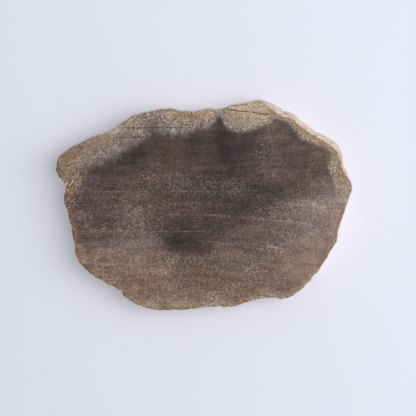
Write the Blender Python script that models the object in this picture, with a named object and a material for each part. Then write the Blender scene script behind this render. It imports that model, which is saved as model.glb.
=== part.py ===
"""A slice of petrified wood: one stone, sawn square across the log and left with its own broken rim.

Both broad faces are flat saw cuts, parallel to each other. The rim between them is the log's outside turned
to stone. Its grain stands upright, along the tree, so the rim breaks into upright flutes and splinters that
snap off at short ledges. On the upper right the rim leans out towards the foot, and elsewhere it runs nearly
upright or a little under. A short open crack crosses the sawn face at the neck of the left lobe.

Metres, +Z up. The slice lies on its lower sawn face, and the origin is on that face, under the middle of the
slice's box. +X runs along the slice's length and +Y across it.
"""

import random

import bmesh
import bpy
from mathutils import Vector, noise

MM = 0.001

# Driving dimensions, in millimetres.
THICKNESS = 8.0
COLUMNS = 330  # points round the rim, one every 0.8 mm or so
RING_DEPTHS = (0.0, 0.35, 0.9, 1.8, 2.8, 3.8, 4.8, 5.8, 6.8, 7.6, 8.0)  # rings of the wall, down from the top

# The upper sawn edge, anticlockwise seen from above, in millimetres: x, y, and how far the foot of the rim
# stands out beyond the edge above it there. A negative foot is undercut.
SAWN_EDGE = [
    # right end, going up
    (47.4, 5.1, 0.3),
    (47.0, 7.4, 0.4),
    (45.9, 9.1, 0.8),
    (44.5, 11.4, 1.2),
    (43.8, 14.4, 1.3),
    (43.0, 16.8, 1.6),
    # upper right, where the rim leans out
    (41.9, 17.9, 2.0),
    (40.0, 19.4, 2.1),
    (37.4, 21.0, 2.0),
    (34.6, 22.5, 2.0),
    (32.3, 24.2, 1.9),
    (30.4, 25.6, 2.1),
    (29.1, 27.0, 2.1),
    (27.5, 27.8, 2.0),
    (25.0, 28.3, 2.4),
    (23.5, 29.0, 2.6),
    (22.1, 30.3, 2.1),
    (20.2, 31.8, 1.7),
    (18.7, 33.1, 0.9),
    # top, going left
    (16.3, 33.1, 0.4),
    (12.2, 32.3, 0.3),
    (8.3, 31.7, 0.4),
    (6.1, 30.8, 0.3),
    (0.0, 30.5, 0.0),
    (-3.5, 29.8, -0.3),
    (-8.0, 30.0, -0.3),
    (-10.2, 30.7, -0.4),
    (-14.1, 30.6, -0.4),
    (-18.2, 29.5, -0.5),
    (-21.4, 29.1, -0.6),
    (-23.4, 28.1, -0.6),
    (-26.1, 26.2, -0.5),
    (-28.2, 24.6, -0.5),
    (-30.6, 23.2, -0.6),
    (-34.2, 22.0, -0.7),
    (-38.1, 20.5, -0.8),
    (-39.7, 19.5, -0.8),
    (-42.6, 18.2, -0.8),
    # left lobe, and the notch below it
    (-45.1, 16.3, -0.7),
    (-46.7, 14.6, -0.6),
    (-47.4, 12.2, -0.6),
    (-46.9, 10.2, -0.6),
    (-45.4, 8.0, -0.4),
    (-44.8, 6.6, -0.3),
    (-44.0, 5.4, -0.2),
    (-44.6, 3.2, -0.4),
    (-44.5, 1.0, -0.6),
    # left side, going down
    (-43.2, -3.5, -0.8),
    (-42.1, -8.6, -0.9),
    (-41.3, -13.4, -0.9),
    (-41.1, -15.4, -0.8),
    (-40.0, -18.0, -0.8),
    (-37.6, -20.8, -0.9),
    (-34.2, -23.2, -1.0),
    (-30.4, -25.4, -0.8),
    (-28.5, -26.2, -0.7),
    (-26.6, -28.1, -0.8),
    (-23.7, -30.7, -0.9),
    # bottom, going right
    (-20.8, -32.0, -0.9),
    (-17.0, -33.3, -0.7),
    (-13.1, -33.7, -0.7),
    (-6.7, -33.6, -0.6),
    (-1.0, -33.0, -0.5),
    (2.9, -32.6, -0.4),
    (5.3, -32.3, -0.3),
    (6.7, -32.7, -0.4),
    (10.6, -32.2, -0.5),
    (14.1, -31.0, -0.4),
    (17.6, -30.2, -0.3),
    (20.5, -29.7, -0.3),
    (24.6, -30.0, -0.4),
    (27.8, -29.4, -0.4),
    (31.0, -27.2, -0.2),
    (33.6, -24.8, 0.0),
    # lower right, with a short ledge that stands out at the foot
    (34.9, -22.9, 0.5),
    (36.6, -21.0, 1.0),
    (37.6, -19.5, 0.6),
    (39.4, -17.0, 0.4),
    (41.1, -14.1, 0.5),
    (42.6, -11.5, 0.5),
    (43.2, -8.0, 0.6),
    (44.3, -4.3, 0.6),
    (45.4, -1.4, 0.5),
    (46.2, 1.4, 0.4),
]

LEAN_BOW = 0.8  # under 1, a rim that leans out does most of it near the top
SKIN_RELIEF = 0.45  # share of the relief that is left where the rim leans out, on the log's own smooth skin

# The rim's relief, in millimetres, all of it measured out from the sawn edge above.
FACET_LENGTHS = (3.5, 9.0)  # shortest and longest flat break between two upright arrises
FACET_BELLIES = (-0.9, 0.7)  # how far an arris is set in or stands out at its knee
FACET_KNEES = (0.3, 0.7)  # height of that knee, as a share of the thickness down from the upper face
FLUTE_PITCH = 2.4  # upright flutes along the grain
FLUTE_DEPTH = 0.3
FLUTE_DRIFT = 11.0  # height over which a flute wanders into the next
SPLINTER_WIDTHS = (1.6, 4.8)  # narrowest and widest splinter
SPLINTER_STEPS = (0.2, 0.95)  # least and most that a splinter is set back past its ledge
SPLINTERS_GONE_ABOVE = 0.4  # share of the splinters that broke off above their ledge, not below it
LEDGE_DEPTHS = (1.8, 6.8)  # highest and lowest ledge
LEDGE_FALL = 0.5  # height over which a ledge drops from one level to the other
NICK_LENGTH = 2.8  # chips that the saw broke from both sawn edges
TOP_NICK_DEPTH, TOP_NICK_HEIGHT = 0.9, 1.0
FOOT_NICK_DEPTH, FOOT_NICK_HEIGHT = 1.4, 1.2
NICKS_APART = 0.1  # how far the noise must rise before a nick starts
MOST_PROUD = 0.3  # the rim stands out no further than this beyond the edge, or beyond its own foot

# The open crack in the upper face, from the notch inwards, in millimetres.
CRACK_LINE = [(-44.6, 5.3), (-42.7, 5.7), (-41.9, 6.8), (-41.1, 7.9), (-39.9, 9.0), (-39.7, 10.6)]
CRACK_WIDTH = (0.5, 0.18)  # at the notch, and where it closes
CRACK_DEPTH = (1.3, 0.4)
CUTTER_RISE = 1.0  # how far its cutter stands above the face

SEED = 7  # fixes where the splinters and arrises fall

STONE_COLOUR = (0.22, 0.16, 0.115, 1.0)  # linear, the brown of the sawn face's outer wood
STONE_ROUGHNESS = 0.8


def clear_scene():
    for old in list(bpy.data.objects):
        bpy.data.objects.remove(old, do_unlink=True)


def petrified_wood():
    """The stone's finish: silica the brown of old timber, sawn and not polished."""
    material = bpy.data.materials.new("petrified_wood")
    material.use_nodes = True
    shader = material.node_tree.nodes["Principled BSDF"]
    shader.inputs["Base Color"].default_value = STONE_COLOUR
    shader.inputs["Roughness"].default_value = STONE_ROUGHNESS
    shader.inputs["Metallic"].default_value = 0.0
    return material


def curve_between(before, start, end, after, share):
    """A point of a Catmull-Rom curve that passes through start and end."""
    square, cube = share * share, share * share * share
    return 0.5 * (
        2 * start
        + (end - before) * share
        + (2 * before - 5 * start + 4 * end - after) * square
        + (3 * start - before - 3 * end + after) * cube
    )


def even_points(knots, count, steps=12):
    """count points an equal way apart on the closed curve through the knots, whose z is the foot."""
    fine = []
    for index in range(len(knots)):
        around = [Vector(knots[(index + step) % len(knots)]) for step in (-1, 0, 1, 2)]
        fine += [curve_between(*around, step / steps) for step in range(steps)]
    lengths = [(fine[(i + 1) % len(fine)] - fine[i]).xy.length for i in range(len(fine))]
    spacing = sum(lengths) / count
    points, travelled, wanted = [], 0.0, 0.0
    for index, length in enumerate(lengths):
        while wanted < travelled + length and len(points) < count:
            share = (wanted - travelled) / length
            points.append(fine[index].lerp(fine[(index + 1) % len(fine)], share))
            wanted += spacing
        travelled += length
    return points, spacing


def outward_directions(points, reach):
    """The way out of the slice at each point, from the chord between the points reach steps either side."""
    count = len(points)
    directions = []
    for index in range(count):
        chord = (points[(index + reach) % count] - points[index - reach]).xy
        directions.append(Vector((chord.y, -chord.x)).normalized())
    return directions


def splinters(length, rng):
    """Splinters side by side along the rim: start, end, ledge, set back, and whether gone above the ledge."""
    strips, start = [], 0.0
    while start < length:
        end = start + rng.uniform(*SPLINTER_WIDTHS)
        gone_above = rng.random() < SPLINTERS_GONE_ABOVE
        strips.append((start, end, rng.uniform(*LEDGE_DEPTHS), rng.uniform(*SPLINTER_STEPS), gone_above))
        start = end
    return strips


def splinter_relief(strips, along, depth):
    """How far the wall is set in by the splinter that broke off there, in millimetres."""
    for start, end, ledge, set_back, above in strips:
        if start <= along < end:
            middle = 1 - abs(2 * (along - start) / (end - start) - 1) ** 4
            past = min(max((depth - ledge) / LEDGE_FALL + 0.5, 0.0), 1.0)
            return -set_back * middle * ((1 - past) if above else past)
    return 0.0


def facet_arrises(length, rng):
    """Upright arrises between the rim's flat breaks: place along the rim, belly at the knee, and knee."""
    arrises, place = [], 0.0
    while place < length - FACET_LENGTHS[0]:
        arrises.append((place, rng.uniform(*FACET_BELLIES), rng.uniform(*FACET_KNEES)))
        place += rng.uniform(*FACET_LENGTHS)
    return [*arrises, (length, *arrises[0][1:])]


def facet_relief(arrises, along, share):
    """How far a flat break stands out from the upright, in millimetres, at a share of the thickness."""
    for (start, belly, knee), (end, next_belly, next_knee) in zip(arrises, arrises[1:]):
        if start <= along <= end:
            between = (along - start) / (end - start)
            belly += (next_belly - belly) * between
            knee += (next_knee - knee) * between
            return belly * (share / knee if share < knee else (1 - share) / (1 - knee))
    return 0.0


def flute_relief(place, depth):
    """The upright flutes, in millimetres: rounded hollows, and sharper ridges at about half their pitch."""
    drift = Vector((0, 0, depth / FLUTE_DRIFT))
    hollow = noise.noise(place / FLUTE_PITCH + drift)
    ridge = 0.25 - abs(noise.noise(place * 1.7 / FLUTE_PITCH + drift + Vector((7, 3, 0))))
    return FLUTE_DEPTH * (1.2 * hollow + 0.6 * ridge)


def nick_relief(place, depth):
    """The saw's nicks, in millimetres: deepest at the cut that broke them out, and fading away from it."""
    top = max(noise.noise(place / NICK_LENGTH + Vector((0, 9, 0))) - NICKS_APART, 0.0)
    foot = max(noise.noise(place / NICK_LENGTH + Vector((5, 0, 2))) - NICKS_APART, 0.0)
    near_top = max(1 - depth / TOP_NICK_HEIGHT, 0.0)
    near_foot = max(1 - (THICKNESS - depth) / FOOT_NICK_HEIGHT, 0.0)
    return -TOP_NICK_DEPTH * top * near_top - FOOT_NICK_DEPTH * foot * near_foot


def wall_offset(point, arrises, strips, along, depth):
    """How far the wall stands out from the sawn edge, in millimetres, at a depth below the upper face."""
    share = depth / THICKNESS
    place = Vector((point.x, point.y, 0.0))
    # The relief grows from the saw cut down, so that the sawn edge keeps its outline.
    relief = flute_relief(place, depth) * min(0.4 + 2 * share, 1.0)
    relief += facet_relief(arrises, along, share)
    relief += splinter_relief(strips, along, depth) * min(5 * share, 1.0)
    relief += nick_relief(place, depth)
    relief *= 1 - (1 - SKIN_RELIEF) * min(max(point.z, 0.0), 1.0)
    return min(point.z * share ** LEAN_BOW + relief, max(point.z, 0.0) + MOST_PROUD)


def slice_rings():
    """The rings of points that make the wall, in metres, from the upper sawn edge down to the lower one."""
    points, spacing = even_points(SAWN_EDGE, COLUMNS)
    directions = outward_directions(points, reach=3)
    rng = random.Random(SEED)
    strips = splinters(spacing * COLUMNS, rng)
    arrises = facet_arrises(spacing * COLUMNS, rng)
    rings = []
    for depth in RING_DEPTHS:
        ring = []
        for index, (point, outward) in enumerate(zip(points, directions)):
            flat = point.xy + outward * wall_offset(point, arrises, strips, spacing * index, depth)
            ring.append(Vector((flat.x, flat.y, THICKNESS - depth)) * MM)
        rings.append(ring)
    return rings


def new_object(name, shape):
    """An object with the shape's mesh, its faces all turned outwards."""
    bmesh.ops.recalc_face_normals(shape, faces=shape.faces[:])
    mesh = bpy.data.meshes.new(name)
    shape.to_mesh(mesh)
    shape.free()
    made = bpy.data.objects.new(name, mesh)
    bpy.context.scene.collection.objects.link(made)
    return made


def build_slice():
    """One closed solid: two flat sawn faces and the wall of rings between them."""
    shape = bmesh.new()
    rings = [[shape.verts.new(point) for point in ring] for ring in slice_rings()]
    for upper, lower in zip(rings, rings[1:]):
        for index in range(COLUMNS):
            after = (index + 1) % COLUMNS
            shape.faces.new((upper[index], lower[index], lower[after], upper[after]))
    shape.faces.new(rings[0])
    shape.faces.new(reversed(rings[-1]))
    bmesh.ops.triangulate(shape, faces=shape.faces[:], quad_method="SHORT_EDGE", ngon_method="BEAUTY")
    stone = new_object("petrified_wood_slice", shape)
    stone.data.materials.append(petrified_wood())
    return stone


def crack_section(place, chord, share):
    """Three corners of the crack's wedge, in metres, at a share of the way from the notch to its far end."""
    across = Vector((-chord.y, chord.x, 0)).normalized()
    half = (CRACK_WIDTH[0] + (CRACK_WIDTH[1] - CRACK_WIDTH[0]) * share) / 2
    depth = CRACK_DEPTH[0] + (CRACK_DEPTH[1] - CRACK_DEPTH[0]) * share
    widen = half * (depth + CUTTER_RISE) / depth
    face = Vector((place.x, place.y, THICKNESS))
    rise, fall = Vector((0, 0, CUTTER_RISE)), Vector((0, 0, -depth))
    return [(face + rise + across * widen) * MM, (face + rise - across * widen) * MM, (face + fall) * MM]


def crack_cutter():
    """A thin wedge along the crack: as wide as the crack at the face, and nothing at its bottom."""
    shape = bmesh.new()
    line = [Vector(place) for place in CRACK_LINE]
    last = len(line) - 1
    sections = []
    for index, place in enumerate(line):
        chord = line[min(index + 1, last)] - line[max(index - 1, 0)]
        sections.append([shape.verts.new(corner) for corner in crack_section(place, chord, index / last)])
    for before, after in zip(sections, sections[1:]):
        for corner in range(3):
            following = (corner + 1) % 3
            shape.faces.new((before[corner], before[following], after[following], after[corner]))
    shape.faces.new(sections[0])
    shape.faces.new(sections[-1])
    cutter = new_object("crack_cutter", shape)
    cutter.hide_render = True
    cutter.display_type = "WIRE"
    return cutter


def centre_on_origin(stone, cutter):
    """Moves the meshes so that the middle of the slice's box stands over the origin."""
    for axis in (0, 1):
        reach = [vertex.co[axis] for vertex in stone.data.vertices]
        middle = (min(reach) + max(reach)) / 2
        for part in (stone, cutter):
            for vertex in part.data.vertices:
                vertex.co[axis] -= middle


def main():
    clear_scene()
    stone = build_slice()
    cutter = crack_cutter()
    centre_on_origin(stone, cutter)
    crack = stone.modifiers.new("crack", "BOOLEAN")
    crack.operation = "DIFFERENCE"
    crack.solver = "EXACT"
    crack.object = cutter


main()
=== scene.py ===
"""Looks of the petrified wood slice: its broken rim in fine relief, its mineral colours and its studio.

One piece, stone_slice, stands for the CAD solid and is made from it. The rim is cut finer and worked into
splinters, fibres and nicks. The two sawn faces stay flat. Everything else is colour that runs through the stone,
apart from painted light and shade on the rim and at the crack.
"""

import math

import bmesh
import bpy
import numpy as np
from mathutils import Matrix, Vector


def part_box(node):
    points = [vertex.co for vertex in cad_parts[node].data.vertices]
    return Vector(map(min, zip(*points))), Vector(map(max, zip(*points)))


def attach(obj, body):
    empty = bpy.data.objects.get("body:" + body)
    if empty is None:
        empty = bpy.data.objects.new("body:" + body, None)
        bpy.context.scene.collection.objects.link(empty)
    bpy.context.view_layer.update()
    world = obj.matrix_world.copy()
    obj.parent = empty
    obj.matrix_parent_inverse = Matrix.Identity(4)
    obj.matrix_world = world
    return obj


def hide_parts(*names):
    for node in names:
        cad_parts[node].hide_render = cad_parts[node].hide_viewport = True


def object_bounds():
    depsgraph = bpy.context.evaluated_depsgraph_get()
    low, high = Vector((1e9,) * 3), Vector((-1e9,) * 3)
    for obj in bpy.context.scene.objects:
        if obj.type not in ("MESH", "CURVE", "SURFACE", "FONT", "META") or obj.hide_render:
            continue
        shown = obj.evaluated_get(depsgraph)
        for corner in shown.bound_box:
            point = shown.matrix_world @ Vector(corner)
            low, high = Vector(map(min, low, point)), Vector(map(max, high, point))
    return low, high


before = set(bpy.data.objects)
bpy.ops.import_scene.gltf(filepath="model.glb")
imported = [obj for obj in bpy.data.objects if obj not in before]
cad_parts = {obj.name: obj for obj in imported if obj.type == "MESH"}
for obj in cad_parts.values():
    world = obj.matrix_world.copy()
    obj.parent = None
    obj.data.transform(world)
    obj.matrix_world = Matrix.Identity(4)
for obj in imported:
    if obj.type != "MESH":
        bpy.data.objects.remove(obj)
cad_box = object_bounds()

MM = 0.001
NODE = "petrified_wood_slice"
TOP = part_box(NODE)[1].z  # height of the upper sawn face

# Finish of the rim's relief, in metres.
RIM_CUTS = 3  # new edges across each CAD facet of the rim: one facet is 0.8 mm wide
GRID_STEP = 1.25 * MM  # spacing of the points on the sawn faces that carry the colour fields
SPLINTER_WIDTH = 1.5 * MM
SPLINTER_DEPTH = 0.3 * MM
FIBRE_WIDTH = 0.45 * MM
FIBRE_DEPTH = 0.2 * MM
NICK_WIDTH = 0.9 * MM
NICK_DEPTH = 0.18 * MM
UPRIGHT_STRETCH = 9.0  # how much longer than wide a splinter or a fibre is
FULL_RELIEF = 0.9 * MM  # distance from the nearer saw cut at which splinters and fibres reach their full depth
LEAST_RELIEF = 0.12  # and their share of it right at the cut
ARRIS_HEIGHT = 0.7 * MM  # how far from a saw cut its nicks reach
BUMP_DEPTH = 0.12 * MM  # the grain too fine for the mesh
WELD = 0.001 * MM  # vertices nearer to each other than this are one
PAIRING = math.radians(60)  # two triangles of the rim that fit within this become one four-sided face
SMOOTH_BELOW = math.radians(38)  # edges blunter than this are shaded smooth

# A face belongs to a saw cut if its normal is this upright and it lies this near the cut's height.
FLAT = 0.999
ON_CUT = 0.01 * MM

# The dark heart of the log, as a closed line round it in millimetres. Below y = 2 it runs off the slice on the
# right, because there the heart fades out by itself.
HEART = [
    (-38.2, -18.2), (-39.5, -11.2), (-40.8, -7.4), (-41.7, -2.2), (-40.8, 1.6), (-39.8, 4.2), (-39.6, 8.0),
    (-40.4, 11.2), (-36.3, 12.4), (-33.1, 14.2), (-27.5, 17.4), (-24.0, 20.0), (-20.3, 21.8), (-17.7, 23.6),
    (-14.5, 24.0), (-11.0, 23.4), (-4.3, 24.0), (-2.4, 25.2), (0.2, 24.4), (2.2, 25.6), (3.7, 27.4), (5.3, 28.9),
    (6.5, 26.2), (8.8, 23.8), (13.3, 23.4), (16.8, 25.0), (21.4, 25.9), (22.4, 27.7), (25.0, 27.7), (27.4, 26.4),
    (29.6, 23.1), (31.4, 20.8), (36.4, 19.4), (41.1, 17.2), (41.2, 15.4), (39.7, 13.2), (40.8, 10.6), (41.0, 8.2),
    (42.8, 2.4), (52.0, -8.6), (52.0, -50.0), (-36.0, -50.0),
]

# Depth of stain runs from 0, the palest tan, to 1, near black. The heart has a lower limit, with paler wood below
# it. Its depth along x above and below that limit:
HEART_DEPTH = [(-45, 0.72), (-20, 0.74), (0, 0.77), (15, 0.77), (22, 0.67), (45, 0.68)]
LOWER_DEPTH = [(-45, 0.50), (-30, 0.41), (-12, 0.46), (0, 0.55), (12, 0.50), (24, 0.44), (34, 0.32), (45, 0.29)]
# The limit itself: x, its height and how many millimetres the change takes.
LOWER_LIMIT = [
    (-45, -12, 10), (-30, -10, 11), (-20, -7, 10), (-15, -10.5, 7), (-11, -15.0, 2.4), (1, -15.9, 2.2), (4, -12, 6),
    (10, -7.5, 9), (17, -4, 8), (24, 0.2, 5), (31, 2.4, 3), (45, 3.2, 2.6),
]

# Every cloud below is x, y, its reach along x and y, all in millimetres, and its strength.
CLOUD_FALL = 1.2  # how fast a cloud fades towards its reach

# Clouds of mineral stain in the heart. They deepen it, or bleach it where the strength is below 0.
STAINS = [
    (6.4, 17.0, 4.4, 6.5, 0.22), (11.5, 20.0, 3.4, 4.5, 0.07), (5.2, 24.5, 1.5, 4.5, 0.10),
    (-3.4, 19.5, 2.6, 5.5, 0.10), (-16.0, 21.0, 3.0, 2.6, 0.12), (-20.0, 17.6, 4.0, 2.6, 0.10),
    (-24.5, 14.9, 4.6, 2.9, 0.21), (-31.5, 12.0, 4.5, 2.0, 0.08), (0.5, 8.8, 4.5, 2.2, 0.09),
    (8.0, 9.6, 6.5, 2.2, 0.07), (20.0, 4.8, 6.5, 3.0, 0.18), (14.5, 0.6, 7.5, 3.4, 0.08),
    (3.5, 3.2, 6.5, 4.2, 0.05), (-9.5, -11.6, 4.2, 4.3, 0.18), (-4.5, -10.6, 4.2, 4.2, 0.18),
    (-14.8, -14.2, 2.8, 2.0, 0.19), (-8.0, -5.0, 7.0, 3.2, 0.10), (-38.0, 1.4, 3.0, 2.2, 0.09),
    (-37.0, -10.2, 4.2, 1.6, 0.12), (-29.0, 3.6, 3.0, 2.0, 0.03), (30.5, 13.3, 5.0, 4.0, 0.15),
    (17.5, 14.5, 3.5, 3.5, 0.08), (24.0, 16.0, 4.0, 2.5, 0.04), (36.3, -6.2, 2.4, 1.2, 0.08),
    (-34.0, -13.6, 7.0, 3.0, 0.09), (-26.0, -13.4, 5.0, 2.0, 0.09), (-38.0, -16.2, 3.0, 3.0, 0.07),
    (-23.5, -9.0, 7.0, 2.4, 0.09), (12.5, -13.0, 6.0, 3.6, 0.12), (21.0, -14.0, 3.0, 2.0, 0.05),
    (15.0, -17.6, 4.0, 2.0, 0.09), (23.0, -17.2, 3.0, 2.4, 0.05), (27.0, -5.6, 3.6, 2.0, 0.09),
    (32.5, -3.6, 3.6, 2.0, 0.08), (29.5, -9.6, 4.4, 2.8, 0.12), (20.0, -9.5, 6.0, 4.0, 0.12),
    (3.0, -20.2, 7.0, 2.0, 0.08), (-1.0, -22.5, 7.0, 2.4, 0.07), (31.0, 4.6, 4.5, 1.8, 0.04),
    (-22.5, -2.2, 6.5, 2.4, -0.20), (-27.0, 1.0, 10.0, 2.4, -0.13), (-23.0, -3.4, 9.0, 1.8, -0.08),
    (-38.6, -4.8, 3.6, 2.8, -0.18), (-14.0, 10.8, 3.6, 2.0, -0.12), (-8.3, 10.4, 3.6, 1.9, -0.23),
    (-8.5, 5.5, 5.0, 2.2, -0.03), (-19.5, 6.5, 6.0, 3.0, -0.06), (-16.0, 4.5, 2.0, 2.4, -0.06),
    (-19.0, -12.5, 2.6, 1.8, -0.09), (-22.0, -16.5, 6.0, 1.4, -0.05), (-24.0, -20.4, 6.0, 1.6, -0.04),
    (-19.0, -22.8, 3.6, 1.8, -0.10), (0.0, -31.5, 30.0, 3.6, -0.18), (5.0, -30.0, 6.0, 2.8, -0.12),
    (20.8, -26.8, 2.4, 3.0, -0.14), (26.5, -20.5, 3.0, 2.2, -0.08), (40.0, 5.8, 3.0, 3.0, -0.2),
    (35.0, 5.0, 2.6, 2.0, -0.07), (37.0, 2.0, 3.0, 1.8, -0.05), (5.5, -3.8, 5.0, 2.8, -0.11),
    (-3.0, -27.5, 4.0, 2.0, -0.09), (15.5, -23.5, 3.0, 2.0, -0.10), (-13.0, -26.0, 3.0, 2.0, -0.07),
    (-20.0, -32.0, 4.0, 1.5, -0.09), (4.0, -32.5, 4.0, 1.4, -0.09), (42.0, -6.0, 1.8, 8.0, -0.08),
    (13.0, 18.6, 4.0, 3.0, 0.11), (-6.0, 18.8, 6.0, 1.8, 0.08), (34.5, 10.5, 2.2, 1.6, -0.09),
    (30.5, 2.8, 2.2, 2.0, 0.07), (-28.0, -1.0, 2.4, 1.4, 0.06), (-33.0, -7.0, 2.6, 1.4, 0.06),
    (-5.0, -16.4, 7.0, 2.0, 0.08), (8.0, -28.0, 2.4, 2.0, -0.08), (20.0, -29.0, 2.4, 2.0, -0.08),
    (-21.0, -22.4, 3.0, 1.4, -0.08), (-30.5, -17.0, 3.0, 1.2, -0.07), (-16.5, -3.0, 2.4, 2.0, -0.07),
    (-39.0, 5.4, 2.0, 1.6, -0.07), (-6.6, 22.8, 2.0, 1.4, -0.12), (-0.3, 22.5, 1.2, 4.0, -0.08),
    (36.6, 16.4, 2.2, 1.6, -0.09), (15.2, 21.3, 1.6, 1.5, -0.1), (12.0, 12.8, 2.4, 1.4, -0.07),
    (-27.0, 9.5, 2.2, 2.4, 0.07), (-24.5, 5.6, 1.6, 1.4, -0.08), (32.8, 7.0, 1.8, 1.6, -0.09),
    (28.0, -0.4, 2.2, 1.4, -0.1), (-4.5, -7.8, 2.4, 1.4, 0.08), (2.8, -15.4, 2.4, 1.6, -0.08),
    (-15.0, -19.8, 13.0, 1.2, 0.06), (27.0, -21.0, 2.5, 1.6, -0.07), (-13.0, -30.6, 5.0, 1.0, 0.08),
    (38.0, -19.0, 1.8, 1.8, 0.18), (-24.0, 17.6, 3.0, 1.4, -0.07),
]

# The outer wood's depth along x, and its clouds: the grey spur over the heart, and darker wood near the left end.
OUTER_DEPTH = [(-48, 0.36), (-40, 0.29), (-30, 0.14), (-18, 0.11), (0, 0.13), (12, 0.08), (25, 0.12), (45, 0.2)]
OUTER_STAINS = [
    (-16.0, 25.4, 2.9, 4.0, 0.42), (-40.5, -3.0, 4.0, 9.0, 0.13), (-42.0, 3.0, 2.4, 3.0, 0.14),
    (-38.0, 9.0, 2.0, 1.4, 0.10), (-44.0, 14.5, 3.0, 2.4, 0.03), (-38.0, 18.2, 4.0, 1.6, 0.06),
    (-31.5, 18.4, 6.5, 3.2, 0.12), (-22.0, 21.5, 4.0, 2.0, 0.08), (-2.6, 27.2, 2.6, 3.0, 0.12),
    (-12.0, 29.8, 6.0, 1.6, 0.1), (10.8, 26.0, 2.8, 1.8, 0.2), (19.0, 31.2, 3.0, 1.8, -0.2),
    (-37.4, 13.3, 3.2, 1.8, -0.26), (-44.2, 6.0, 1.8, 1.6, -0.18), (22.6, 26.4, 2.0, 1.6, 0.36),
    (43.6, 4.0, 1.6, 2.4, 0.14), (45.8, 5.5, 1.0, 2.4, -0.1), (-43.6, 1.0, 1.4, 2.2, 0.1),
    (-39.6, -14.5, 1.6, 4.0, 0.1), (-34.0, 24.6, 9.0, 1.2, -0.1), (-30.0, 23.0, 3.0, 1.6, -0.06),
    (14.0, 32.2, 8.0, 1.5, -0.3), (19.0, 29.6, 2.6, 2.0, -0.15), (18.5, 27.3, 2.4, 1.4, -0.06),
    (41.5, 12.0, 1.6, 3.0, 0.03),
]

# Where iron gives the wood a rusty or red-brown cast.
IRON = [
    (-42.8, 15.2, 2.2, 2.4, 1.1), (-36.5, 19.0, 5.0, 2.0, 0.45), (-7.6, 27.4, 3.6, 1.6, 0.6),
    (-41.4, -1.0, 1.6, 9.0, 0.5), (-40.5, -11.0, 2.2, 5.0, 0.3), (-38.0, 10.4, 2.0, 1.2, 0.5),
    (-10.5, 17.0, 7.0, 5.0, 0.45), (-13.0, 11.6, 4.0, 2.2, 0.5), (1.6, 16.0, 2.0, 7.0, 0.5),
    (30.0, 12.0, 8.0, 2.0, 0.3), (22.0, 10.0, 7.0, 2.0, 0.35), (0.0, -5.4, 12.0, 1.6, 0.35),
    (12.0, -10.6, 5.0, 1.2, 0.4), (-20.0, -24.0, 12.0, 3.0, 0.35), (-30.0, 4.0, 5.0, 3.0, 0.3),
    (8.0, -29.0, 8.0, 1.6, 0.4), (28.0, -20.0, 6.0, 4.0, 0.25), (26.0, 28.6, 5.0, 1.4, 0.5),
    (33.0, -18.0, 4.0, 7.0, 0.35), (-28.0, -21.5, 7.0, 2.6, 0.3), (-23.0, -28.0, 5.0, 2.4, 0.3),
    (-27.0, 22.0, 5.0, 2.4, 0.35), (-1.5, 28.6, 2.6, 1.5, 0.5), (9.0, 32.4, 5.5, 1.2, 0.5),
    (17.5, 30.4, 3.0, 2.0, 0.15), (44.3, -5.0, 1.6, 4.0, 0.4), (39.6, -17.0, 1.6, 3.0, 0.5),
    (-10.0, -32.6, 4.0, 1.2, 0.4), (13.0, -31.2, 3.0, 1.2, 0.4), (-37.0, 11.2, 4.0, 1.6, 0.35),
]

# Where the wood outside the heart is as grey as the heart.
COLD = [
    (-16.6, 25.6, 3.4, 4.0, 1.0), (8.5, 27.6, 4.5, 2.4, 0.6), (43.0, 4.0, 2.0, 4.0, 0.6),
    (25.0, 27.0, 3.0, 1.5, 0.6), (25.0, 22.5, 4.0, 3.0, 0.4),
]

# Where pale cells of quartz show as specks.
CHALK = [
    (18.0, 32.2, 4.0, 1.8, 0.8), (18.5, 15.5, 2.4, 6.0, 0.45), (21.5, 21.0, 1.4, 3.5, 0.6),
    (-18.5, 9.4, 2.4, 1.8, 0.6), (-15.5, 7.4, 1.6, 1.4, 0.5), (18.0, -16.0, 7.0, 3.4, 0.45),
    (23.2, -14.1, 3.0, 1.5, 1.5), (15.2, -21.0, 2.0, 1.0, 1.5), (2.4, -30.6, 2.0, 2.0, 1.6),
    (-4.0, -17.6, 9.0, 1.6, 0.6), (-22.0, -9.0, 10.0, 6.0, 0.25), (-38.5, 0.6, 2.0, 1.2, 0.6),
    (-36.0, -3.6, 2.0, 1.2, 0.5), (-31.0, -7.5, 6.0, 2.0, 0.3), (34.0, 5.0, 5.0, 2.0, 0.35),
    (22.0, -2.4, 7.0, 2.0, 0.4), (-4.0, 7.0, 9.0, 3.0, 0.35), (8.0, 5.4, 8.0, 3.4, 0.35),
    (33.0, -9.0, 8.0, 5.0, 0.25), (5.0, -22.0, 9.0, 3.0, 0.3), (-11.5, -20.5, 4.0, 5.0, 0.6),
]

# Growth lines, from the top down: height at x = 0 in millimetres, how much it lightens the wood (below 0 it
# darkens), and where along x it starts and ends. The first and the last lie off the slice and only close the table.
GROWTH_LINES = [
    (45.0, 0.0, 0, 0), (30.2, -1.0, 7, 21), (24.5, -1.0, -27, -4), (21.6, -0.8, -27, -18), (19.2, -0.15, 0, 40),
    (17.2, 0.12, -20, 36), (15.0, -0.2, 3, 35), (12.8, 0.12, 5, 28), (9.6, -0.2, 18, 40), (7.0, 0.15, -30, 10),
    (4.4, 0.65, -36, 12), (0.8, 0.3, -18, 2), (-3.2, 0.65, -11, 33), (-5.9, 0.15, -20, 10), (-8.4, 0.75, -42, 0),
    (-11.4, 0.7, -3, 24), (-14.6, 0.45, -39, -14), (-17.0, 0.4, -18, -10), (-18.8, 0.65, -36, -14),
    (-22.4, -0.2, -30, 20), (-27.3, 0.55, -8, 13), (-30.4, 0.2, -20, 10), (-45.0, 0.0, 0, 0),
]
LINE_FADE = 3.0  # how many millimetres a growth line takes to fade in or out, on either side of its ends
FLAT_HEIGHT = 3.2  # the growth lines are straight here; below it they droop to the right, above it they rise
DROOP = 0.0094  # change of slope for each millimetre of height
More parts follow.
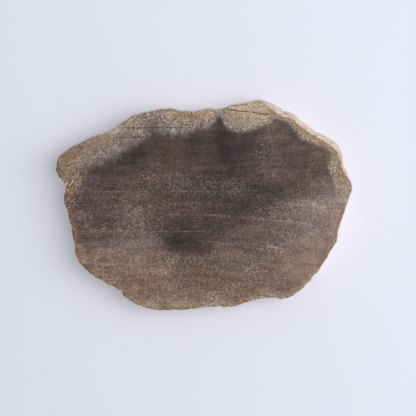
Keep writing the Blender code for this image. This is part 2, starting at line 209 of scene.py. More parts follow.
STEEPEST_FALL = 0.15
STEEPEST_RISE = 0.03
# The topmost line falls faster, across the pale tongue at the top: how steeply, from which x, and between which
# heights that sets in.
TONGUE_DROOP = 0.16
TONGUE_START = 7
TONGUE_HEIGHT = (26.5, 28.0)

# The open crack across the left lobe's neck, in millimetres.
CRACK = [(-42.9, 5.6), (-41.9, 6.8), (-41.1, 7.9), (-39.9, 9.0), (-39.7, 10.6)]
CRACK_REACH = 0.5  # how far its walls reach either side of it
CRACK_DEPTH = 1.4 * MM  # how far down from the upper sawn face they have their own colours
LIGHT_CRACK_END = -42.9 * MM  # both walls are painted pale to the left of this
LIT_WALL_MARK, SHADED_WALL_MARK = 1.0, 2.0  # the marks in the crack_wall field of the wall painted pale as lit and the wall painted dark as shade
# The pale strokes along the crack's upper lip, partly pale quartz and partly painted light of a lit chip: start, end,
# half their width and how strongly they show.
LIPS = [
    ((-42.8, 6.0, 0.0), (-41.8, 8.0, 0.0), 0.12, 0.85),
    ((-40.2, 8.6, 0.0), (-40.2, 10.4, 0.0), 0.12, 0.5),
]

PALE_SKIN = 0.16  # how much shallower the stain is right at the skin along the bottom

# How strongly the single cells show: height and strength. They are fainter in the pale wood at the right.
SPECKLE = [(-34, 0.74), (-12, 0.74), (-5, 1.0), (8, 1.05), (13, 0.62), (30, 0.7)]

# The bleached band outside the heart: x, its width, how pale it is, and the height above which it shows.
BLEACHED = [
    (-45, 1.2, 0.0, 10.5), (-38, 1.8, 0.0, 10.5), (-28, 2.2, 0.0, 9.0), (-18, 2.6, 0.15, 8.0), (-10, 2.6, 0.4, 8.0),
    (-3, 1.8, 0.5, 8.0), (5, 1.7, 0.4, 8.0), (10, 2.0, 0.4, 8.0), (18, 1.5, 0.7, 8.0), (28, 1.3, 0.75, 7.0),
    (36, 1.0, 0.7, 7.0), (45, 1.0, 0.5, 8.0),
]
BLEACHED_FADE = 1.5  # it fades in over this much to either side of that height

# How sharp the heart's edge is along x: 1 is as sharp as its cells, and at the left it fades over a few millimetres.
HEART_SHARPNESS = [(-45, 0.5), (-35, 0.4), (-18, 0.38), (-10, 0.6), (0, 0.85), (8, 1.0), (45, 1.0)]

# The fields that the mesh carries to the material: numbers at its vertices, and for the last two at its faces.
FIELDS = (
    "heart_mm", "stain", "outer_stain", "cold", "iron", "chalk", "warmth", "bleached_mm", "ash", "speckle",
    "row_mm", "ring", "ring_mm", "ring_shown", "skin_mm", "skin_shown", "cream", "on_rim", "crack_wall",
)
LONG_GRAIN = 0.14  # along the log the wood's pattern changes this much slower than across it


def select_only(piece):
    bpy.ops.object.select_all(action="DESELECT")
    piece.select_set(True)
    bpy.context.view_layer.objects.active = piece


def select_faces(piece, wanted):
    """In edit mode, selects the shown faces that wanted holds for, and nothing else."""
    bpy.ops.mesh.select_all(action="DESELECT")
    shape = bmesh.from_edit_mesh(piece.data)
    for face in shape.faces:
        if not face.hide and wanted(face):
            face.select_set(True)
    bmesh.update_edit_mesh(piece.data)


def is_sawn(face):
    """True for a face of the upper or lower saw cut."""
    height = face.calc_center_median().z
    return abs(face.normal.z) > FLAT and (height > TOP - ON_CUT or height < ON_CUT)


def cut_finer(piece):
    """Gives the rim small faces all over, and each sawn face a grid of points to carry its colours."""
    bpy.ops.object.mode_set(mode="EDIT")
    bpy.ops.mesh.select_mode(type="FACE")
    bpy.ops.mesh.select_all(action="SELECT")
    bpy.ops.mesh.remove_doubles(threshold=WELD)
    select_faces(piece, is_sawn)
    bpy.ops.mesh.dissolve_faces()
    select_faces(piece, lambda face: not is_sawn(face))
    bpy.ops.mesh.tris_convert_to_quads(face_threshold=PAIRING, shape_threshold=PAIRING)
    bpy.ops.mesh.subdivide(number_cuts=RIM_CUTS)
    # With the rim out of the way, straight cuts along x and y lay the grid over the saw cuts.
    select_faces(piece, lambda face: not is_sawn(face))
    bpy.ops.mesh.hide(unselected=False)
    for axis in (0, 1):
        reach = int(max(abs(cad_box[0][axis]), cad_box[1][axis]) / GRID_STEP)
        for number in range(-reach, reach + 1):
            place, across = [0.0, 0.0, 0.0], [0.0, 0.0, 0.0]
            place[axis], across[axis] = number * GRID_STEP, 1.0
            bpy.ops.mesh.select_all(action="SELECT")
            bpy.ops.mesh.bisect(plane_co=place, plane_no=across, threshold=1e-7)
    bpy.ops.mesh.reveal()
    bpy.ops.object.mode_set(mode="OBJECT")


def distance_to_line(points, line, closed):
    """The distance from each point to a line of straight stretches, in the line's unit."""
    line = np.array(line, float)
    ends = np.roll(line, -1, axis=0) if closed else line[1:]
    starts = line if closed else line[:-1]
    nearest = np.full(len(points), 1e9)
    for start, end in zip(starts, ends):
        along = end - start
        share = np.clip((points - start) @ along / (along @ along), 0, 1)
        nearest = np.minimum(nearest, np.hypot(*(points - start - share[:, None] * along).T))
    return nearest


def inside_line(points, line):
    """True for each point that a closed line goes round."""
    inside = np.zeros(len(points), bool)
    x, y = points.T
    for (ax, ay), (bx, by) in zip(line, line[1:] + line[:1]):
        if ay != by:
            crosses = ((ay > y) != (by > y)) & (x < (bx - ax) * (y - ay) / (by - ay) + ax)
            inside ^= crosses
    return inside


def vertex_places(piece):
    places = np.empty(len(piece.data.vertices) * 3)
    piece.data.vertices.foreach_get("co", places)
    return places.reshape(-1, 3)


def weigh(piece, name, weights):
    """A vertex group with a weight for each vertex."""
    group = piece.vertex_groups.new(name=name)
    for index, weight in enumerate(weights):
        if weight > 0.001:
            group.add([index], float(weight), "REPLACE")


def field(piece, name, values, domain="POINT"):
    """An attribute with one number for each vertex or face, for the material to read."""
    layer = piece.data.attributes.new(name, "FLOAT", domain)
    layer.data.foreach_set("value", np.asarray(values, np.float32))


def find_rim(piece):
    """Marks the rim's faces for the material, and gives back which vertices are on the rim and on a saw cut."""
    faces = piece.data.polygons
    is_rim = np.array([abs(face.normal.z) <= FLAT for face in faces])
    field(piece, "on_rim", is_rim, "FACE")
    middles = np.array([face.center for face in faces])
    # Painted light and shade in the crack: walls that face the lamps, and both walls at the pale end, are marked to
    # be painted pale, and the others to be painted dark.
    pale_walls = np.array([face.normal.x > 0 for face in faces]) | (middles[:, 0] < LIGHT_CRACK_END)
    in_crack = is_rim & (middles[:, 2] > TOP - CRACK_DEPTH)
    in_crack &= distance_to_line(middles[:, :2] / MM, CRACK, closed=False) < CRACK_REACH
    wall = np.where(pale_walls, LIT_WALL_MARK, SHADED_WALL_MARK)
    field(piece, "crack_wall", np.where(in_crack, wall, 0.0), "FACE")
    on_rim, on_cut = np.zeros((2, len(piece.data.vertices)), bool)
    for face, rim in zip(faces, is_rim):
        (on_rim if rim else on_cut)[list(face.vertices)] = True
    return on_rim, on_cut


def work_rim(piece, on_rim, on_cut):
    """Works the rim into splinters, fibres and nicks."""
    places = vertex_places(piece)
    depth = np.minimum(TOP - places[:, 2], places[:, 2])  # from the nearer saw cut
    outside = on_rim & (distance_to_line(places[:, :2] / MM, CRACK, closed=False) > CRACK_REACH)
    weigh(piece, "rim", np.where(outside & ~on_cut, np.clip(depth / FULL_RELIEF, LEAST_RELIEF, 1.0), 0.0))
    weigh(piece, "arris", np.where(outside, np.clip(1 - depth / ARRIS_HEIGHT, 0.0, 1.0), 0.0))

    upright = bpy.data.objects.new("upright_grain", None)
    upright.scale = (1.0, 1.0, UPRIGHT_STRETCH)
    bpy.context.scene.collection.objects.link(upright)
    bpy.context.view_layer.update()

    # First the CAD's facets are rounded off, then the textures work on what is left.
    soften = piece.modifiers.new("soften_facets", "SMOOTH")
    soften.factor, soften.iterations, soften.vertex_group = 0.5, 6, "rim"

    splinter = bpy.data.textures.new("splinter", "VORONOI")
    splinter.color_mode, splinter.noise_scale, splinter.distance_metric = "POSITION", SPLINTER_WIDTH, "DISTANCE"
    fibre = bpy.data.textures.new("fibre", "CLOUDS")
    fibre.noise_type, fibre.noise_scale, fibre.noise_depth = "HARD_NOISE", FIBRE_WIDTH, 2
    nick = bpy.data.textures.new("nick", "CLOUDS")
    nick.noise_scale, nick.noise_depth = NICK_WIDTH, 1
    nick.use_color_ramp = False
    nick.contrast, nick.intensity = 2.5, 0.85

    # Each with its strength, the value of its texture that moves nothing, and the vertices it works on.
    for name, texture, strength, middle, group in (
        ("splinters", splinter, SPLINTER_DEPTH, 0.95, "rim"),
        ("fibres", fibre, FIBRE_DEPTH, 0.75, "rim"),
        ("nicks", nick, -NICK_DEPTH, 0.25, "arris"),
    ):
        displace = piece.modifiers.new(name, "DISPLACE")
        displace.texture = texture
        displace.texture_coords = "OBJECT"
        displace.texture_coords_object = upright
        displace.strength, displace.mid_level, displace.vertex_group = strength, middle, group
    select_only(piece)
    for modifier in list(piece.modifiers):
        bpy.ops.object.modifier_apply(modifier=modifier.name)
    bpy.data.objects.remove(upright)
    piece.vertex_groups.clear()

    # The saw cuts stay true planes, so a nick in their edge only moves it sideways, and nothing stands proud.
    worked = vertex_places(piece)
    worked[on_cut, 2] = places[on_cut, 2]
    worked = np.clip(worked, list(cad_box[0]), list(cad_box[1]))
    piece.data.vertices.foreach_set("co", worked.ravel())
    piece.data.update()


def step(value, low, high):
    """0 below low, 1 above high, and a smooth change between."""
    share = np.clip((value - low) / (high - low), 0, 1)
    return share * share * (3 - 2 * share)


def clouded(places, base, clouds):
    """A field with soft round clouds laid over it, each given as x, y, reach along x and y, and strength."""
    for x, y, reach_x, reach_y, strength in clouds:
        away = ((places[:, 0] - x) / reach_x) ** 2 + ((places[:, 1] - y) / reach_y) ** 2
        base = base + strength * np.exp(-CLOUD_FALL * away)
    return base


def add_fields(piece, on_rim, on_cut):
    """The fields that say where the heart, its stains, the growth lines and the skin of the log are. They depend on
    x and y alone, in millimetres, so they run straight through the slice. Each step below happens between the two
    places that it names."""
    places = vertex_places(piece)
    edge = places[on_rim & on_cut & (places[:, 2] > TOP / 2), :2] / MM
    places = places[:, :2] / MM
    x, y = places.T
    nothing = np.zeros(len(places))

    # How far inside the heart a point is, and the depth of stain inside and outside it.
    heart = distance_to_line(places, HEART, closed=True) * np.where(inside_line(places, HEART), 1, -1)
    heart = heart * np.interp(x, *zip(*HEART_SHARPNESS))
    limit_x, limit_y, limit_width = zip(*LOWER_LIMIT)
    limit, width = np.interp(x, limit_x, limit_y), np.interp(x, limit_x, limit_width)
    high, low = np.interp(x, *zip(*HEART_DEPTH)), np.interp(x, *zip(*LOWER_DEPTH))
    depth = low + (high - low) * step(y, limit - width / 2, limit + width / 2)
    outer = np.interp(x, *zip(*OUTER_DEPTH))

    # Heights with the growth lines' bend taken out, the lines counted from the top down, how strongly the nearest
    # one shows, and their spacing.
    straightened = y + np.maximum(x, 0) * np.clip((FLAT_HEIGHT - y) * DROOP, -STEEPEST_RISE, STEEPEST_FALL)
    straightened += TONGUE_DROOP * np.maximum(x - TONGUE_START, 0) * step(y, *TONGUE_HEIGHT)
    heights = [line[0] for line in GROWTH_LINES]
    ring = np.interp(-straightened, [-height for height in heights], range(len(heights)))
    nearest = np.clip(np.round(ring).astype(int), 0, len(heights) - 1)
    strength, start, end = np.array([line[1:] for line in GROWTH_LINES], float)[nearest].T
    shown = strength * step(x, start - LINE_FADE, start + LINE_FADE) * step(-x, -end - LINE_FADE, -end + LINE_FADE)
    spacing = np.interp(ring, np.arange(len(heights) - 1) + 0.5, -np.diff(heights))

    # Distance from the skin, worked out in batches. Every third point of the edge is near enough.
    skin = np.full(len(places), 1e9)
    for first in range(0, len(places), 2000):
        some = places[first : first + 2000]
        away = ((some[:, None, :] - edge[None, ::3, :]) ** 2).sum(axis=2).min(axis=1)
        skin[first : first + 2000] = np.sqrt(away)

    # The brown band under the skin is widest and strongest along the upper right, and shows at the far right too.
    banded = step(x + 0.9 * y, 34, 42) * step(y, 4, 10) * step(x, 17, 24)
    field(piece, "skin_mm", skin / (1 + 0.7 * banded))
    field(piece, "skin_shown", 0.15 + 0.95 * banded + 0.5 * step(x, 36, 41) * step(-y, -2, 3))

    pale_skin = PALE_SKIN * step(-skin, -1.8, -0.3) * step(-y, 17, 24)
    field(piece, "heart_mm", heart)
    field(piece, "stain", clouded(places, depth, STAINS) - pale_skin)
    field(piece, "outer_stain", clouded(places, outer, OUTER_STAINS) - pale_skin)
    for name, clouds in (("iron", IRON), ("cold", COLD), ("chalk", CHALK)):
        field(piece, name, clouded(places, nothing, clouds))

    # The heart is a cool brown, and turns warm towards the bottom and towards the skin at the right.
    warm_below = step(-y, 4, 24) * (1 - 0.2 * step(x, 5, 20))
    warm_right = 0.8 * step(x, 20, 36) * step(-skin, -9, -1)
    field(piece, "warmth", np.maximum(warm_below, warm_right))

    bleached_x, bleached_width, bleached_pale, bleached_from = zip(*BLEACHED)
    lowest = np.interp(x, bleached_x, bleached_from)
    shows = step(y, lowest - BLEACHED_FADE, lowest + BLEACHED_FADE)
    field(piece, "bleached_mm", np.interp(x, bleached_x, bleached_width) * shows)
    field(piece, "ash", np.interp(x, bleached_x, bleached_pale))
    faint = 0.45 * step(x, 18, 34) * step(-y, -13, -5)
    field(piece, "speckle", np.interp(y, *zip(*SPECKLE)) * (1 - faint))
    field(piece, "row_mm", straightened)
    field(piece, "ring", ring)
    field(piece, "ring_mm", spacing)
    field(piece, "ring_shown", shown)
    # The rim is cream at the upper right, and a little so at the lower right.
    field(piece, "cream", step(x + 0.9 * y, 2, 26) + 0.3 * step(x, 20, 40) * step(-y, -6, 2))


def linear(colour):
    """A colour given as sRGB hex, as the linear numbers that a shader works in."""
    channels = [int(colour[place : place + 2], 16) / 255 for place in (1, 3, 5)]
    return [c / 12.92 if c <= 0.04045 else ((c + 0.055) / 1.055) ** 2.4 for c in channels] + [1.0]


def add(tree, kind, wired=None, stops=None, **settings):
    """Adds a shader node with its settings, ramp stops and inputs, and gives back its first live output.
    wired maps an input's name or number to a value or to the output that feeds it."""
    made = tree.nodes.new("ShaderNode" + kind)
    for name, value in settings.items():
        setattr(made, name, value)
    if stops:
        while len(made.color_ramp.elements) < len(stops):
            made.color_ramp.elements.new(0.5)
        for element, (place, colour) in zip(made.color_ramp.elements, stops):
            element.position, element.color = place, linear(colour)
    for name, value in (wired or {}).items():
        if isinstance(value, bpy.types.NodeSocket):
            tree.links.new(value, made.inputs[name])
        else:
            made.inputs[name].default_value = value
    return next(output for output in made.outputs if output.enabled)


def petrified_wood_sawn():
    """Petrified wood: cell by cell the timber was turned to quartz, so the saw shows its pores, rays and
    growth lines. Sawn and left unpolished it is matt, speckled at the size of a pore, and stained by iron
    and manganese."""
    material = bpy.data.materials.new("petrified_wood_sawn")
    material.use_nodes = True
    tree = material.node_tree
    shader = tree.nodes["Principled BSDF"]

    # Every length below is in millimetres. Along the log, which is z, the wood's cells are far longer than wide.
    object_place = add(tree, "TexCoord").node.outputs["Object"]
    place = add(tree, "VectorMath", {0: object_place, "Scale": 1000.0}, operation="SCALE")
    x, y, z = add(tree, "SeparateXYZ", {0: place}).node.outputs
    upright = add(tree, "VectorMath", {0: place, 1: (1.0, 1.0, LONG_GRAIN)}, operation="MULTIPLY")
    (
        heart, stain, outer_stain, cold, iron, chalk, warmth, bleached_mm, ash_pale, speckle,
        row, ring, ring_mm, ring_shown, skin, skin_shown, cream, rim, crack_wall,
    ) = (add(tree, "Attribute", attribute_name=name).node.outputs["Fac"] for name in FIELDS)

    # Noise at the scales of the wood: clouds of 9 mm, ragged stain edges of 2 mm, clumps of cells of 1 mm.
    ragged = add(tree, "TexNoise", {"Vector": upright, "Scale": 0.45, "Detail": 2.0, "Roughness": 0.6})
    clump = add(tree, "TexNoise", {"Vector": upright, "Scale": 1.0, "Detail": 1.0})
    wide = add(tree, "VectorMath", {0: upright, 1: (0.55, 1.0, 1.0)}, operation="MULTIPLY")
    patches = add(tree, "TexNoise", {"Vector": wide, "Scale": 0.24, "Detail": 3.0, "Roughness": 0.55})
    # Fine grain, and single cells. Real cells are 0.05 to 0.3 mm wide and are drawn at 0.4 mm, to show at all.
    grain = add(tree, "TexNoise", {"Vector": upright, "Scale": 2.8, "Detail": 1.0, "Roughness": 0.6})
    slow_z = add(tree, "Math", {0: z, 1: LONG_GRAIN}, operation="MULTIPLY")
    rows = add(tree, "CombineXYZ", {0: x, 1: row, 2: slow_z})
    cells = add(tree, "TexVoronoi", {"Vector": rows, "Scale": 3.1, "Randomness": 0.75}).node.outputs["Color"]
    cell, other_cell, _ = add(tree, "SeparateColor", {0: cells}).node.outputs

    # Streaks run along the growth rings, and rays cross them about 1 mm apart.
    long_rows = add(tree, "VectorMath", {0: rows, 1: (0.1, 1.0, 0.5)}, operation="MULTIPLY")
    streak = add(tree, "TexNoise", {"Vector": long_rows, "Scale": 0.6, "Detail": 3.0, "Roughness": 0.65})
    short_rows = add(tree, "VectorMath", {0: rows, 1: (0.22, 1.0, 0.5)}, operation="MULTIPLY")
    fine_streak = add(tree, "TexNoise", {"Vector": short_rows, "Scale": 1.9, "Detail": 1.0})
    columns = add(tree, "VectorMath", {0: rows, 1: (1.0, 0.2, 0.5)}, operation="MULTIPLY")
    fine_ray = add(tree, "TexNoise", {"Vector": columns, "Scale": 2.0, "Detail": 1.0})
    slow_y = add(tree, "Math", {0: y, 1: 0.12}, operation="MULTIPLY")
    across = add(tree, "CombineXYZ", {0: x, 1: slow_y})
    rays = add(tree, "TexNoise", {"Vector": across, "Scale": 1.1, "Detail": 2.0, "Roughness": 0.6})

    # How far inside the heart a point is, with a ragged edge that follows the cells.
    edge = -1.1
    for noise, reach in ((ragged, 2.2), (cell, 0.7), (grain, 1.4)):
        edge = add(tree, "Math", {0: noise, 1: reach, 2: edge}, operation="MULTIPLY_ADD")
    edge = add(tree, "Math", {0: edge, 1: -1.05}, operation="ADD")
    inside = add(tree, "Math", {0: heart, 1: edge}, operation="ADD")
    in_heart = add(tree, "MapRange", {0: inside, 1: -0.5, 2: 0.5}, interpolation_type="SMOOTHSTEP")

    # The depth of the stain: the clouds, with streaks and ragged edges. The heart is a cool brown and the wood
    # outside it a warm one, apart from where the fields say otherwise.
    depth = add(tree, "Mix", {0: in_heart, 2: outer_stain, 3: stain})
    for noise, strength in ((ragged, 0.22), (streak, 0.46), (rays, 0.16), (patches, 0.4)):
        depth = add(tree, "Math", {0: noise, 1: strength, 2: depth}, operation="MULTIPLY_ADD")
    depth = add(tree, "Math", {0: depth, 1: -0.61}, operation="ADD")
    cool = add(tree, "ValToRGB", {0: depth}, stops=[
        (0.0, "#ac9b90"), (0.25, "#8d7c74"), (0.5, "#6d5c57"), (0.75, "#4d3d3b"), (1.0, "#291d1f"),
    ])
    warm = add(tree, "ValToRGB", {0: depth}, stops=[
        (0.0, "#b3a088"), (0.25, "#8d7967"), (0.5, "#6d584a"), (0.75, "#4d3930"), (1.0, "#291b16"),
    ])
    tan = add(tree, "Math", {0: in_heart, 1: -1.0, 2: 1.0}, operation="MULTIPLY_ADD")
    tan = add(tree, "Math", {0: tan, 1: warmth}, operation="MAXIMUM")
    not_cold = add(tree, "Math", {0: cold, 1: -1.0, 2: 1.0}, operation="MULTIPLY_ADD", use_clamp=True)
    tan = add(tree, "Math", {0: tan, 1: not_cold}, operation="MULTIPLY")
    wood = add(tree, "Mix", {0: tan, 6: cool, 7: warm}, data_type="RGBA")
    rusty = add(tree, "Math", {0: iron, 1: ragged}, operation="MULTIPLY", use_clamp=True)
    rusty = add(tree, "Math", {0: rusty, 1: 1.3}, operation="MULTIPLY", use_clamp=True)
    wood = add(tree, "Mix", {0: rusty, 6: wood, 7: linear("#f4c69c")}, data_type="RGBA", blend_type="MULTIPLY")

    # Just outside the heart the wood is bleached to grey, with pale quartz in single cells.
    outside = add(tree, "Math", {0: inside, 1: bleached_mm}, operation="ADD")
    bleached = add(tree, "MapRange", {0: outside, 1: -0.6, 2: 0.9}, interpolation_type="SMOOTHSTEP")
    inner_side = add(tree, "MapRange", {0: inside, 1: 1.1, 2: -0.2}, interpolation_type="SMOOTHSTEP")
    bleached = add(tree, "Math", {0: bleached, 1: inner_side}, operation="MULTIPLY")
    is_wide = add(tree, "MapRange", {0: bleached_mm, 1: 0.2, 2: 1.2}, interpolation_type="SMOOTHSTEP")
    bleached = add(tree, "Math", {0: bleached, 1: is_wide}, operation="MULTIPLY")
    ash = add(tree, "Math", {0: cell, 1: 0.4}, operation="MULTIPLY")
    ash = add(tree, "Math", {0: grain, 1: 0.6, 2: ash}, operation="MULTIPLY_ADD")
    ash = add(tree, "MapRange", {0: ash, 1: 0.4, 2: 0.74}, interpolation_type="SMOOTHSTEP")
    stained = add(tree, "MapRange", {0: outer_stain, 1: 0.3, 2: 0.5, 3: 1.0, 4: 0.1})
    bleached = add(tree, "Math", {0: bleached, 1: stained}, operation="MULTIPLY")
    quartz = add(tree, "Mix", {0: ash_pale, 6: linear("#90857d"), 7: linear("#bbb1ab")}, data_type="RGBA")
    ash = add(tree, "Mix", {0: ash, 6: linear("#665b55"), 7: quartz}, data_type="RGBA")
    bleached = add(tree, "Math", {0: bleached, 1: 0.8}, operation="MULTIPLY")
    wood = add(tree, "Mix", {0: bleached, 6: wood, 7: ash}, data_type="RGBA")

    # The brown band just inside the skin, strongest where the rim is cream.
    skin_line = add(tree, "MapRange", {0: skin, 1: 1.0, 2: 0.5}, interpolation_type="SMOOTHSTEP")
    skin_line = add(tree, "Math", {0: skin_line, 1: skin_shown}, operation="MULTIPLY")
    mottled = add(tree, "MapRange", {0: streak, 1: 0.3, 2: 0.62, 3: 0.3})
    skin_line = add(tree, "Math", {0: skin_line, 1: mottled}, operation="MULTIPLY", use_clamp=True)
    skin_brown = add(tree, "Mix", {0: grain, 6: linear("#7d644c"), 7: linear("#ae916f")}, data_type="RGBA")
    wood = add(tree, "Mix", {0: skin_line, 6: wood, 7: skin_brown}, data_type="RGBA")

    # Cells, clumps and fine streaks lighten and darken all of it.
    bright = add(tree, "MapRange", {0: other_cell, 1: 0.72, 2: 0.92}, interpolation_type="SMOOTHSTEP")
    shade = -1.68
    for noise, strength in (
        (cell, 1.1), (bright, 0.75), (grain, 0.7), (clump, 0.25), (fine_streak, 0.6), (fine_ray, 0.45),
    ):
        shade = add(tree, "Math", {0: noise, 1: strength, 2: shade}, operation="MULTIPLY_ADD")
    shade = add(tree, "Math", {0: shade, 1: speckle, 2: 1.0}, operation="MULTIPLY_ADD")
    wood = add(tree, "VectorMath", {0: wood, "Scale": shade}, operation="SCALE")

    # Specks of pale quartz where the chalky patches are.
    speck = add(tree, "MapRange", {0: other_cell, 1: 0.72, 2: 0.9}, interpolation_type="SMOOTHSTEP")
    speck = add(tree, "Math", {0: speck, 1: chalk}, operation="MULTIPLY", use_clamp=True)
    speck = add(tree, "Math", {0: speck, 1: 0.5}, operation="MULTIPLY")
    wood = add(tree, "Mix", {0: speck, 6: wood, 7: linear("#c2b6ac")}, data_type="RGBA")

    # The growth lines themselves: thin, broken lines of paler or darker wood. Real ones are 0.1 mm wide and are
    # drawn at 0.3 mm.
    wobble = add(tree, "Math", {0: ragged, 1: 0.12, 2: 0.44}, operation="MULTIPLY_ADD")
    turn = add(tree, "Math", {0: ring, 1: wobble}, operation="ADD")
    turn = add(tree, "Math", {0: turn}, operation="FRACT")
    turn = add(tree, "Math", {0: turn, 1: -0.5}, operation="ADD")
    off_line = add(tree, "Math", {0: turn, 1: ring_mm}, operation="MULTIPLY")
    gap = add(tree, "Math", {0: off_line}, operation="ABSOLUTE")
    line = add(tree, "MapRange", {0: gap, 1: 0.3, 2: 0.05}, interpolation_type="SMOOTHSTEP")
    dash = add(tree, "Math", {0: cell, 1: 0.3, 2: rays}, operation="MULTIPLY_ADD")
    dash = add(tree, "Math", {0: ragged, 1: 0.8, 2: dash}, operation="MULTIPLY_ADD")
    dash = add(tree, "MapRange", {0: dash, 1: 0.85, 2: 1.25}, interpolation_type="SMOOTHSTEP")
    pale_line = add(tree, "Math", {0: line, 1: dash}, operation="MULTIPLY")
    pale_line = add(tree, "Math", {0: pale_line, 1: ring_shown}, operation="MULTIPLY", use_clamp=True)
    pale_line = add(tree, "Math", {0: pale_line, 1: 0.5}, operation="MULTIPLY")
    wood = add(tree, "Mix", {0: pale_line, 6: wood, 7: linear("#ab917c")}, data_type="RGBA")
    dark_line = add(tree, "Math", {0: line, 1: ring_shown}, operation="MULTIPLY")
    dark_line = add(tree, "Math", {0: dark_line, 1: -1.0}, operation="MULTIPLY", use_clamp=True)
    wood = add(tree, "Mix", {0: dark_line, 6: wood, 7: linear("#463a34")}, data_type="RGBA")

    # Pale strokes along the crack's upper lip, a little ragged: partly pale quartz and partly painted light of a lit
    # chip.
    for start, end, half_width, strength in LIPS:
        run = Vector(end) - Vector(start)
        way, aside = run.normalized(), Vector((run.y, -run.x, 0)).normalized()
        from_start = add(tree, "VectorMath", {0: place, 1: start}, operation="SUBTRACT")
        along = add(tree, "VectorMath", {0: from_start, 1: way}, operation="DOT_PRODUCT").node.outputs["Value"]
        across = add(tree, "VectorMath", {0: from_start, 1: aside}, operation="DOT_PRODUCT").node.outputs["Value"]
        across = add(tree, "Math", {0: ragged, 1: 0.2, 2: across}, operation="MULTIPLY_ADD")
        along = add(tree, "Math", {0: along, 1: run.length / 2, 2: run.length / 2}, operation="COMPARE")
        across = add(tree, "Math", {0: across, 1: 0.1, 2: half_width}, operation="COMPARE")
        lip = add(tree, "Math", {0: along, 1: across}, operation="MULTIPLY")
        lip = add(tree, "Math", {0: lip, 1: strength}, operation="MULTIPLY")
        wood = add(tree, "Mix", {0: lip, 6: wood, 7: linear("#cfc4b5")}, data_type="RGBA")

    # The rim: a matt crust of cream and tan over upright fibres, with rust and grey.
    fibre = add(tree, "TexNoise", {"Vector": upright, "Scale": 2.2, "Detail": 2.0, "Roughness": 0.65})
    patch = add(tree, "TexNoise", {"Vector": place, "Scale": 0.28, "Detail": 3.0, "Roughness": 0.6})
    patch = add(tree, "Math", {0: cream, 1: 0.22, 2: patch}, operation="MULTIPLY_ADD")
    crust = add(tree, "ValToRGB", {0: patch}, stops=[
        (0.32, "#7a6149"), (0.45, "#9c8062"), (0.58, "#c4ac91"), (0.74, "#ecdcc9"),
    ])
    # Painted shade in the grooves of the fibres' relief, weaker where the rim is cream; the same weakening applies to
    # the painted light on the arris below.
    groove_shade = add(tree, "MapRange", {0: fibre, 1: 0.54, 2: 0.38, 4: 0.6}, interpolation_type="SMOOTHSTEP")
    off_cream = add(tree, "Math", {0: cream, 1: -0.7, 2: 1.0}, operation="MULTIPLY_ADD", use_clamp=True)
    groove_shade = add(tree, "Math", {0: groove_shade, 1: off_cream}, operation="MULTIPLY")
    crust = add(tree, "Mix", {0: groove_shade, 6: crust, 7: linear("#6e5541")}, data_type="RGBA")
    # The top of the rim is painted paler: partly a chipped arris, fresher than the crust below it, and partly painted
    # light that lifts the shade on the rim's unlit sides, least where the rim is cream.
    arris = {0: z, 1: TOP / MM - 0.9, 2: TOP / MM - 0.1, 4: 0.75}
    arris = add(tree, "MapRange", arris, interpolation_type="SMOOTHSTEP")
    arris = add(tree, "Math", {0: arris, 1: off_cream}, operation="MULTIPLY")
    crust = add(tree, "Mix", {0: arris, 6: crust, 7: linear("#c4a681")}, data_type="RGBA")
    # Painted light and shade: the crack's wall that faces the lamps is painted pale, partly as pale quartz and partly
    # as lit, and the other is painted dark as its shade.
    lit_wall = add(tree, "Math", {0: crack_wall, 1: LIT_WALL_MARK, 2: 0.5}, operation="COMPARE")
    crust = add(tree, "Mix", {0: lit_wall, 6: crust, 7: linear("#e4dccf")}, data_type="RGBA")
    shaded_wall = add(tree, "Math", {0: crack_wall, 1: SHADED_WALL_MARK, 2: 0.5}, operation="COMPARE")
    crust = add(tree, "Mix", {0: shaded_wall, 6: crust, 7: linear("#2b211c")}, data_type="RGBA")
    face = add(tree, "Mix", {0: rim, 6: wood, 7: crust}, data_type="RGBA")
    tree.links.new(face, shader.inputs["Base Color"])

    # The saw left the face fine-ground, and the crust is rougher.
    ground = add(tree, "MapRange", {0: cell, 3: 0.55, 4: 0.72})
    rough = add(tree, "Mix", {0: rim, 2: ground, 3: 0.9})
    tree.links.new(rough, shader.inputs["Roughness"])
    shader.inputs["IOR"].default_value = 1.54
    shader.inputs["Specular IOR Level"].default_value = 0.22
    relief = add(tree, "Mix", {0: rim, 2: grain, 3: fibre})
    bump = add(tree, "Bump", {"Height": relief, "Strength": 0.5, "Distance": BUMP_DEPTH})
    tree.links.new(bump, shader.inputs["Normal"])
    return material


def make_stone():
    """The slice, made from a copy of the CAD solid's mesh."""
    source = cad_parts[NODE]
    stone = bpy.data.objects.new("stone_slice", source.data.copy())
    bpy.context.scene.collection.objects.link(stone)
    select_only(stone)
    cut_finer(stone)
    on_rim, on_cut = find_rim(stone)
    work_rim(stone, on_rim, on_cut)
    add_fields(stone, on_rim, on_cut)
    select_only(stone)
    bpy.ops.object.shade_smooth_by_angle(angle=SMOOTH_BELOW)
    stone.data.materials.clear()
    stone.data.materials.append(petrified_wood_sawn())
    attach(stone, "root")
    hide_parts(NODE)


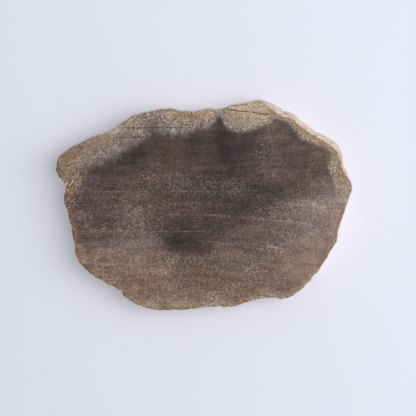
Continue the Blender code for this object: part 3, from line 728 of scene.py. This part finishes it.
def make_studio():
    """A pale table, a small lamp overhead, a broad one and a low one from the right, and a camera that looks
    straight down."""
    bpy.ops.object.select_all(action="DESELECT")
    bpy.ops.mesh.primitive_plane_add(size=6.0, location=(0, 0, 0))
    table = bpy.context.object
    table.name = "table"
    # Matt paper, with painted light falloff: a shade darker towards the lower left.
    paper = bpy.data.materials.new("matt_paper")
    paper.use_nodes = True
    shader = paper.node_tree.nodes["Principled BSDF"]
    place = add(paper.node_tree, "TexCoord").node.outputs["Object"]
    across = add(paper.node_tree, "VectorMath", {0: place, 1: (1.0, 0.4, 0.0)}, operation="DOT_PRODUCT")
    across = across.node.outputs["Value"]
    light_falloff = add(paper.node_tree, "MapRange", {0: across, 1: -0.075, 2: 0.075})
    light_falloff = add(paper.node_tree, "Mix", {0: light_falloff, 6: linear("#dadce8"), 7: linear("#e4e6f3")}, data_type="RGBA")
    paper.node_tree.links.new(light_falloff, shader.inputs["Base Color"])
    shader.inputs["Roughness"].default_value = 0.9
    table.data.materials.append(paper)

    world = bpy.data.worlds.new("room")
    bpy.context.scene.world = world
    world.use_nodes = True
    back = world.node_tree.nodes["Background"]
    back.inputs["Color"].default_value = (1.0, 1.0, 1.0, 1.0)
    back.inputs["Strength"].default_value = 0.36

    # Each light: elevation above the right-hand side in degrees, shift towards the top of the picture, distance, size
    # along and across, and power.
    for name, elevation, shift, distance, length, width, energy in (
        ("overhead", 92.5, -0.045, 1.5, 0.16, 0.16, 6.25),
        ("side_high", 52, 0.03, 1.4, 1.0, 1.8, 11.8),
        ("side_low", 20, 0.03, 1.4, 0.8, 1.8, 1.7),
    ):
        light = bpy.data.lights.new(name, "AREA")
        light.shape, light.size, light.size_y, light.energy = "RECTANGLE", length, width, energy
        lamp = bpy.data.objects.new(name, light)
        direction = Vector((math.cos(math.radians(elevation)), shift, math.sin(math.radians(elevation))))
        lamp.location = direction * distance
        lamp.rotation_euler = direction.to_track_quat("Z", "Y").to_euler()
        bpy.context.scene.collection.objects.link(lamp)

    # The picture is 133 mm wide at the upper face, and the slice's middle stands a little left of its middle.
    view = bpy.data.cameras.new("camera")
    height, width = 1.2, 133.1 * MM
    view.sensor_width = 36.0
    view.lens = 36.0 * height / width
    view.clip_end = 20.0
    camera = bpy.data.objects.new("camera", view)
    camera.location = (1.24 * MM, -0.96 * MM, TOP + height)
    bpy.context.scene.collection.objects.link(camera)
    bpy.context.scene.camera = camera
    bpy.context.scene.view_settings.view_transform = "Standard"


make_stone()
make_studio()
